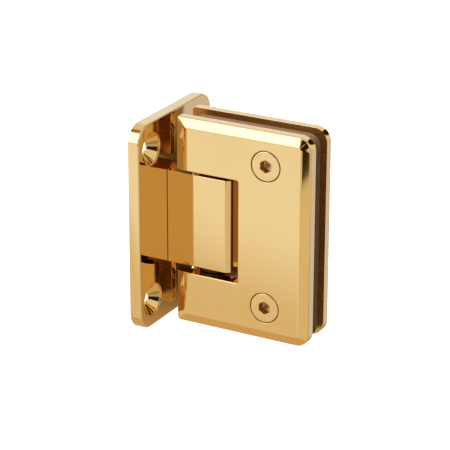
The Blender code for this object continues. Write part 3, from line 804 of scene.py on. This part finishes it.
class HINGE_OT_wall_plate(bpy.types.Operator):
    """Models the wall plate with its countersunk holes"""
    bl_idname = "hinge.wall_plate"
    bl_label = "Wall plate"

    def execute(self, context):
        sizes = group_of("wall_plate")
        half_width = sizes.width / 2
        half_height = sizes.height / 2
        edge = [(0.0, BACK_BREAK), (BACK_BREAK, 0.0)]
        edge += rounding((sizes.thickness, 0), sizes.edge_radius, 5, (-1, 0), (0, 1))
        sections = []
        for level, inset in edge:
            corners = ((inset - half_width, inset - half_height),
                       (half_width - inset, half_height - inset))
            radius = sizes.corner_radius - inset
            sections.append((level, corners, (radius, radius)))
        plate = loft("gold_wall_plate", X_AXIS, sections, 18)
        carve_all(plate, self.wall_screw_tools() + self.block_screw_tools())
        polish_normals(plate)
        dress(plate, "wall_side", ["wall_plate"], "buffed_wall_plate")
        return {"FINISHED"}

    def wall_screw_tools(self):
        """Cutters for the four countersunk holes, from the plate's front face."""
        sizes = group_of("wall_plate")
        head = sizes.sink_diameter / 2
        bore = sizes.hole_diameter / 2
        rim = sizes.rim_break
        lead = sizes.sink_lead
        profile = [(head + rim + OVERCUT, -OVERCUT)]
        profile += rounding((head, -LIFT), rim, 4, (1, 0), (0, 1))
        profile += rounding((head, lead), rim, 3, (0, -1), (-1, 1))
        profile += rounding((bore, lead + head - bore), rim, 3, (1, -1), (0, 1))
        profile.append((bore, sizes.thickness + OVERCUT))
        tools = []
        for side_y in (-1, 1):
            for side_z in (-1, 1):
                centre = Vector((sizes.thickness, side_y * sizes.spacing_y / 2,
                                 side_z * sizes.spacing_z / 2))
                tools.append(turned("tool", -X_AXIS, centre, profile, HOLE_STEPS))
        return tools

    def block_screw_tools(self):
        """Cutters for the block screws' countersinks, from the plate's back."""
        head = BACK_SCREW_HIGH.y + FIT_GAP
        profile = [(head + SEAT_GAP + OVERCUT, -OVERCUT), (BACK_BORE, head - BACK_BORE + SEAT_GAP),
                   (BACK_BORE, group_of("wall_plate").thickness + OVERCUT)]
        return [turned("tool", X_AXIS, Vector((0, 0, side * BACK_SCREW_Z)), profile,
                       HIDDEN_HOLE_STEPS) for side in (-1, 1)]


class HINGE_OT_pivot_block(bpy.types.Operator):
    """Models the pivot block with its bore, bush pockets and detent chamber"""
    bl_idname = "hinge.pivot_block"
    bl_label = "Pivot block"

    def execute(self, context):
        sizes = group_of("block")
        block = add_block("gold_pivot_block", BLOCK_LOW, BLOCK_HIGH)
        nose = BLOCK_HIGH.x
        wall_end = BLOCK_LOW.x
        half_depth = BLOCK_HIGH.y
        round_edges(block, sizes.chamfer_depth, 1,
                    lambda edge: is_upright(edge) and edge.verts[0].co.x > nose - NEAR)
        select_where(block, "EDGE", lambda edge: is_upright(edge)
                     and edge.verts[0].co.x > PIN_X
                     and abs(edge.verts[0].co.y) > half_depth - NEAR)
        bpy.ops.transform.translate(value=(sizes.chamfer_depth - sizes.chamfer_length, 0, 0))
        leave_edit()
        round_edges(block, sizes.edge_radius, 4,
                    lambda edge: max(vert.co.x for vert in edge.verts) > wall_end + NEAR)
        round_edges(block, sizes.foot_radius, 2,
                    lambda edge: max(vert.co.x for vert in edge.verts) < wall_end + NEAR)
        half = BLOCK_HIGH.z
        pocket = sizes.bush_diameter / 2
        bore = sizes.bore_diameter / 2
        floor = half - sizes.bush_length
        profile = [(pocket, -half - OVERCUT), (pocket, -floor), (bore, -floor), (bore, floor),
                   (pocket, floor), (pocket, half + OVERCUT)]
        carve(block, turned("tool", Z_AXIS, Vector((PIN_X, 0, 0)), profile, HIDDEN_HOLE_STEPS))
        reach = Vector((0, sizes.chamber_width / 2, sizes.chamber_height / 2))
        chamber_low = Vector((wall_end - OVERCUT, 0, 0)) - reach
        chamber_high = Vector((PIN_X - bore / 2, 0, 0)) + reach
        carve(block, add_block("tool", chamber_low, chamber_high))
        polish_normals(block)
        dress(block, "wall_side", ["pivot_block"], "buffed_block")
        return {"FINISHED"}


class HINGE_OT_clamp_plates(bpy.types.Operator):
    """Models the two bevelled clamp plates with the notch, bosses and screw holes"""
    bl_idname = "hinge.clamp_plates"
    bl_label = "Clamp plates"

    def execute(self, context):
        for name, node, side in (("gold_front_plate", "front_clamp_plate", -1),
                                 ("gold_rear_plate", "rear_clamp_plate", 1)):
            plate = self.blank(name, side)
            self.bosses(plate, side)
            self.notch(plate, side)
            self.grooves(plate, side)
            self.screw_holes(plate, side)
            polish_normals(plate)
            dress(plate, "glass_side", [node], "buffed_plates")
            self.dull_inside(plate)
        return {"FINISHED"}

    def blank(self, name, side):
        """The plate before it is cut; its corners tighten towards the bevel's top."""
        sizes = group_of("clamp")
        slope = (sizes.bevel_depth, sizes.bevel_width)
        edge = rounding((PLATE_INNER, 0), INNER_EDGE, 2, (0, 1), (1, 0))
        edge += rounding((PLATE_OUTER - sizes.bevel_depth, 0), sizes.edge_radius, 4, (-1, 0), slope)
        crease = rounding((PLATE_OUTER, sizes.bevel_width), sizes.crease_radius, 3,
                          (-slope[0], -slope[1]), (0, 1))
        edge += crease[:-1]
        edge.append((PLATE_OUTER, crease[-1][1]))
        sections = []
        for level, inset in edge:
            share = min(1.0, inset / sizes.bevel_width)
            radii = [radius + (sizes.face_corner - radius) * share
                     for radius in (sizes.near_corner, sizes.far_corner)]
            corners = ((FRONT_LOW.x + inset, FRONT_LOW.z + inset),
                       (FRONT_HIGH.x - inset, FRONT_HIGH.z - inset))
            sections.append((side * level, corners, radii))
        return loft(name, Y_AXIS, sections, 14)

    def notch_top(self):
        return BLOCK_HIGH.z + group_of("clamp").notch_clearance

    def bosses(self, plate, side):
        """The blocks inside the plate, rooted in it and in the notch's edge."""
        sizes = group_of("clamp")
        self.carve_ends(plate, sizes.boss_width / 2, (side * RUNNING_GAP, side * BOSS_DEPTH),
                        (self.notch_top() - BOSS_ROOT, sizes.boss_top), "UNION")

    def carve_ends(self, plate, half, depths, heights, operation="DIFFERENCE"):
        """Carves blocks of this half width about the pin at the plate's two ends."""
        for side_z in (-1, 1):
            tool = add_block("tool", (PIN_X - half, depths[0], side_z * heights[0]),
                             (PIN_X + half, depths[1], side_z * heights[1]))
            carve(plate, tool, operation)

    def notch(self, plate, side):
        """The cut-out round the block, with a softened rim at the plate's outer face."""
        sizes = group_of("clamp")
        rim = sizes.notch_rim
        top = self.notch_top()
        wall_corner = 0.0008
        # How far the tool reaches past the plate: towards the wall, inwards and outwards
        to_wall, inwards, outwards = 0.015, 0.0002, 0.0005
        start = FRONT_LOW.x - to_wall
        steps = [(-inwards, 0.0)]
        for step in range(4):
            turn = step / 4 * math.pi / 2
            steps.append((PLATE_OUTER - rim * (1 - math.sin(turn)), rim * (1 - math.cos(turn))))
        # The round stops just short of the face, so that no edge of the tool lies in its plane.
        steps.append((PLATE_OUTER - rim * 0.002, rim * 0.93))
        steps.append((PLATE_OUTER + outwards, rim))
        sections = []
        for level, growth in steps:
            corners = ((start, -top - growth), (sizes.notch_end + growth, top + growth))
            sections.append((side * level, corners, (wall_corner, sizes.notch_corner + growth)))
        carve(plate, loft("tool", Y_AXIS, sections, 8))

    def grooves(self, plate, side):
        """The square grooves in the bosses, which hold the pin's ends."""
        sizes = group_of("clamp")
        half = sizes.groove_width / 2
        past_middle = 0.0001
        self.carve_ends(plate, half, (-side * past_middle, side * half),
                        (self.notch_top() - OVERCUT, sizes.groove_top))

    def screw_holes(self, plate, side):
        """Countersunk holes in the front plate, blind ones in the rear, both with sleeve seats."""
        sizes = group_of("screws")
        head = SCREW_RADIUS - sizes.head_inset + sizes.head_gap
        recess = SLEEVE_HIGH.x - SCREW_X + FIT_GAP
        floor = SLEEVE_HIGH.y + SEAT_GAP
        cone_end = min(HEAD_LEAD + head - SCREW_BORE, PLATE_OUTER - floor - SEAT_WALL)
        throat = HEAD_LEAD + head - cone_end
        tools = []
        for side_z in (-1, 1):
            z = side_z * sizes.spacing / 2
            if side < 0:
                profile = [(head + sizes.seat_rim + OVERCUT, -OVERCUT)]
                profile += rounding((head, -LIFT), sizes.seat_rim, 4, (1, 0), (0, 1))
                profile += [(head, HEAD_LEAD), (throat, cone_end), (throat, PLATE_OUTER - floor),
                            (recess, PLATE_OUTER - floor), (recess, PLATE_OUTER)]
                centre = Vector((SCREW_X, -PLATE_OUTER, z))
                tools.append(turned("tool", Y_AXIS, centre, profile, HOLE_STEPS))
            else:
                profile = [(recess, PLATE_INNER - OVERCUT), (recess, floor), (SCREW_BORE, floor),
                           (SCREW_BORE, PLATE_OUTER - BLIND_WALL)]
                centre = Vector((SCREW_X, 0, z))
                tools.append(turned("tool", Y_AXIS, centre, profile, HIDDEN_HOLE_STEPS))
        carve_all(plate, tools)

    def dull_inside(self, plate):
        """The faces that hold the glass and the pin are milled instead of polished, and glow
        faintly: painted light for the light between the plates.
        """
        repaint(plate, "milled_inside",
                lambda face: abs(face.calc_center_median().y) < PLATE_INNER + NEAR)


class HINGE_OT_screws(bpy.types.Operator):
    """Models the clamp screws and the screws behind the block, with hex sockets"""
    bl_idname = "hinge.screws"
    bl_label = "Screws"

    def execute(self, context):
        sizes = group_of("screws")
        for label, side in ENDS:
            head = Vector((SCREW_X, SCREW_LOW.y, side * sizes.spacing / 2))
            screw = self.screw("gold_screw_" + label, Y_AXIS, head,
                               SCREW_RADIUS - sizes.head_inset, SCREW_STEM,
                               SCREW_HIGH.y - SCREW_LOW.y, sizes.key)
            dress(screw, "glass_side", ["clamp_screw_" + label], "plated_screw")
            self.darken_socket(screw, head, sizes.key)
        for label, side in ENDS:
            head = Vector((BACK_SCREW_LOW.x, 0, side * BACK_SCREW_Z))
            screw = self.screw("steel_screw_" + label, X_AXIS, head, BACK_SCREW_HIGH.y,
                               BACK_STEM, BACK_SCREW_HIGH.x - BACK_SCREW_LOW.x, sizes.back_key)
            dress(screw, "wall_side", ["block_screw_" + label], "turned_steel")
        return {"FINISHED"}

    def screw(self, name, axis, head, head_radius, stem_radius, length_along, key):
        """A countersunk screw with a softened rim, a threaded stem and a hex socket."""
        sizes = group_of("screws")
        rim = sizes.rim_radius
        pitch = sizes.thread_pitch
        thread_depth = pitch * 0.35
        tip = pitch * 0.6
        neck = head_radius - stem_radius + rim
        profile = rounding((head_radius, 0), rim, 4, (-1, 0), (0, 1))
        profile.append((stem_radius, neck))
        for turn in range(int((length_along - neck - pitch) / pitch)):
            start = neck + pitch * (turn + 0.4)
            profile += [(stem_radius, start), (stem_radius - thread_depth, start + pitch / 2)]
        profile += [(stem_radius, length_along - tip), (stem_radius - tip, length_along)]
        screw = turned(name, axis, head, profile, PIECE_STEPS)
        corner = key / math.sqrt(3)
        depth = (head_radius - stem_radius) * 1.05
        socket_reach, lead_reach = 0.0005, 0.0006
        sink, flare = 0.0001, 0.0008
        socket = [(corner, -socket_reach), (corner, depth), (POINT_RADIUS, depth + key / 4)]
        carve(screw, turned("tool", axis, head, socket, HEX_SIDES))
        lead = [(key / 2 + flare, -lead_reach), (key / 2 + sink, sink)]
        carve(screw, turned("tool", axis, head, lead, SOCKET_LEAD_STEPS))
        polish_normals(screw)
        return screw

    def darken_socket(self, screw, head, key):
        """The socket of a clamp screw is darker and duller than its plated head: broached, with
        painted shade for its recess.
        """
        reach = key / math.sqrt(3)
        skin = 0.0001

        def is_inside(face):
            offset = face.calc_center_median() - head
            across = Vector((offset.x, 0, offset.z))
            return (skin < offset.y < 2 * reach and across.length < reach
                    and face.normal.dot(across) < NEAR)

        repaint(screw, "broached_socket", is_inside)


class HINGE_OT_bushes(bpy.types.Operator):
    """Models the flanged plastic bushes"""
    bl_idname = "hinge.bushes"
    bl_label = "Bushes"

    def execute(self, context):
        sizes = group_of("block")
        flange = (BUSH_HIGH.x - BUSH_LOW.x) / 2
        sleeve = sizes.bush_diameter / 2 - SEAT_GAP
        bore = PIN_RADIUS + RUNNING_GAP
        foot = BUSH_LOW.z
        top = BUSH_HIGH.z
        seat = top - sizes.flange_thickness
        soft = BUSH_EDGE
        profile = [(sleeve - soft, foot), (sleeve, foot + soft), (sleeve, seat)]
        profile += rounding((flange, seat), soft, 3, (-1, 0), (0, 1))
        profile += rounding((flange, top), soft * 2, 3, (0, -1), (-1, 0))
        hole = [(bore, foot - OVERCUT), (bore, top - soft), (bore + 2 * soft, top + soft)]
        centre = Vector((PIN_X, 0, 0))
        for label, side in ENDS:
            bush = turned("black_bush_" + label, side * Z_AXIS, centre, profile, PIECE_STEPS)
            carve(bush, turned("tool", side * Z_AXIS, centre, hole, PIECE_STEPS))
            polish_normals(bush)
            dress(bush, "wall_side", ["bush_" + label], "moulded_black")
        return {"FINISHED"}


# The floor and the backdrop glow, so that the picture's ground is as pale as the photograph's.
FLOOR_GLOW = 0.92
BACKDROP_RADIUS = 2.9

# The world's light grows from weak to strong along this direction.
WORLD_DIRECTION = (-0.70, -0.10, 0.70)


class HINGE_OT_stage(bpy.types.Operator):
    """Adds the floor, the light tent, the backdrop, the shade card, the world and the camera"""
    bl_idname = "hinge.stage"
    bl_label = "Stage"

    def execute(self, context):
        context.scene.view_settings.view_transform = "Standard"
        context.scene.cycles.glossy_bounces = 10
        self.floor()
        self.world(context.scene)
        self.tent()
        self.backdrop()
        self.shade_card()
        self.camera(context.scene)
        return {"FINISHED"}

    def hide_from(self, item, *rays):
        """Keeps these kinds of light ray from meeting a stage object."""
        for ray in rays:
            setattr(item, "visible_" + ray, False)

    def glowing(self, name, roughness, noise_scale, dark, light, strength):
        """A pale, evenly lit surface with a slight cloudiness."""
        maker = Maker(name, 0.0, roughness)
        maker.paint(maker.noise(noise_scale, 2), (dark, dark, dark), (light, light, light))
        maker.light_up((1, 1, 1), strength)
        return maker.material

    def dome(self, name, radius, material):
        """A large sphere round the scene."""
        deselect()
        bpy.ops.mesh.primitive_uv_sphere_add(segments=64, ring_count=32, radius=radius)
        dome = take_new(name)
        bpy.ops.object.shade_smooth()
        dome.data.materials.append(material)
        return dome

    def floor(self):
        """A pale, evenly lit floor. The gold mirrors the tent instead of it."""
        deselect()
        bpy.ops.mesh.primitive_plane_add(size=group_of("stage").floor_size,
                                         location=(0, 0, CAD_BOX[0][2] - FLOOR_DROP))
        floor = take_new("floor")
        floor.data.materials.append(self.glowing("pale_floor", 0.6, 3, 0.55, 0.58, FLOOR_GLOW))
        self.hide_from(floor, "glossy", "diffuse")

    def tent(self):
        """A light tent round the scene, unseen by the camera, that the gold mirrors."""
        tent = self.dome("light_tent", TENT_RADIUS, tent_material())
        self.hide_from(tent, "camera", "diffuse", "shadow")

    def backdrop(self):
        """A plain pale room behind the floor, seen by the camera alone."""
        wall = self.glowing("pale_wall", 0.8, 2, 0.01, 0.02, 1)
        backdrop = self.dome("backdrop", BACKDROP_RADIUS, wall)
        self.hide_from(backdrop, "diffuse", "glossy", "transmission", "shadow")

    def shade_card(self):
        """A brown card behind the clamp for the wall plate to mirror, seen in reflections alone."""
        card = add_block("shade_card", *CARD)
        carve(card, add_block("step", *CARD_STEP), "UNION")
        card.data.materials.append(card_material())
        self.hide_from(card, "camera", "diffuse", "transmission", "shadow")

    def world(self, scene):
        scene.world = bpy.data.worlds.new("studio")
        scene.world.use_nodes = True
        tree = scene.world.node_tree
        background = tree.nodes["Background"]
        set_inputs(background, {"Color": (1.0, 0.97, 0.93, 1)})
        direction = add_node(tree, "ShaderNodeTexCoord").outputs["Generated"]
        height = add_node(tree, "ShaderNodeVectorMath", direction, operation="DOT_PRODUCT")
        height.inputs[1].default_value = WORLD_DIRECTION
        strength = add_node(tree, "ShaderNodeMapRange", height.outputs["Value"])
        set_inputs(strength, {"From Min": -0.4, "From Max": 0.9, "To Min": 0.02, "To Max": 1.60})
        tree.links.new(strength.outputs["Result"], background.inputs["Strength"])

    def camera(self, scene):
        """The photograph's camera: it circles a point, then is panned, tilted and rolled."""
        settings = group_of("stage")
        back = view_back(settings.azimuth, settings.elevation)
        place = Vector((settings.centre_x, 0, 0)) + back * settings.distance
        azimuth = settings.azimuth + settings.pan
        back = view_back(azimuth, settings.elevation + settings.tilt)
        right = Vector((math.cos(azimuth), math.sin(azimuth), 0))
        up = back.cross(right)
        cosine = math.cos(settings.roll)
        sine = math.sin(settings.roll)
        turn = Matrix((cosine * right - sine * up, sine * right + cosine * up, back)).transposed()
        bpy.ops.object.camera_add(location=place, rotation=turn.to_euler())
        camera = bpy.context.active_object
        camera.name = "photo_camera"
        camera.data.lens = settings.lens
        camera.data.sensor_width = 36
        camera.data.clip_start = 0.01
        scene.camera = camera


def view_back(azimuth, elevation):
    """The direction from the object to a camera at these angles."""
    return Vector((math.sin(azimuth) * math.cos(elevation),
                   -math.cos(azimuth) * math.cos(elevation), math.sin(elevation)))


GROUPS = {
    "wall_plate": WallPlateSizes, "block": BlockSizes, "clamp": ClampSizes,
    "screws": ScrewSizes, "finishes": Finishes, "stage": StageSettings,
}
OPERATORS = (HINGE_OT_finishes, HINGE_OT_wall_plate, HINGE_OT_pivot_block,
             HINGE_OT_clamp_plates, HINGE_OT_screws, HINGE_OT_bushes, HINGE_OT_stage)


class VIEW3D_PT_hinge(bpy.types.Panel):
    """Lists the hinge's settings and pieces"""
    bl_label = "Shower hinge"
    bl_idname = "VIEW3D_PT_hinge"
    bl_space_type = "VIEW_3D"
    bl_region_type = "UI"
    bl_category = "Hinge"

    def draw(self, context):
        for operator in OPERATORS:
            self.layout.operator(operator.bl_idname)
        for name in GROUPS:
            group = group_of(name)
            column = self.layout.column(align=True)
            column.label(text=name.replace("_", " ").capitalize())
            for key in group.__annotations__:
                column.prop(group, key)


CLASSES = (*GROUPS.values(), *OPERATORS, VIEW3D_PT_hinge)


def register():
    for item in CLASSES:
        bpy.utils.register_class(item)
    for name, group in GROUPS.items():
        setattr(bpy.types.Scene, "hinge_" + name, PointerProperty(type=group))


def unregister():
    for name in GROUPS:
        delattr(bpy.types.Scene, "hinge_" + name)
    for item in reversed(CLASSES):
        bpy.utils.unregister_class(item)


def main():
    register()
    bpy.ops.hinge.finishes()
    bpy.ops.hinge.wall_plate()
    bpy.ops.hinge.pivot_block()
    bpy.ops.hinge.clamp_plates()
    bpy.ops.hinge.screws()
    bpy.ops.hinge.bushes()
    bpy.ops.hinge.stage()


if __name__ == "__main__":
    main()
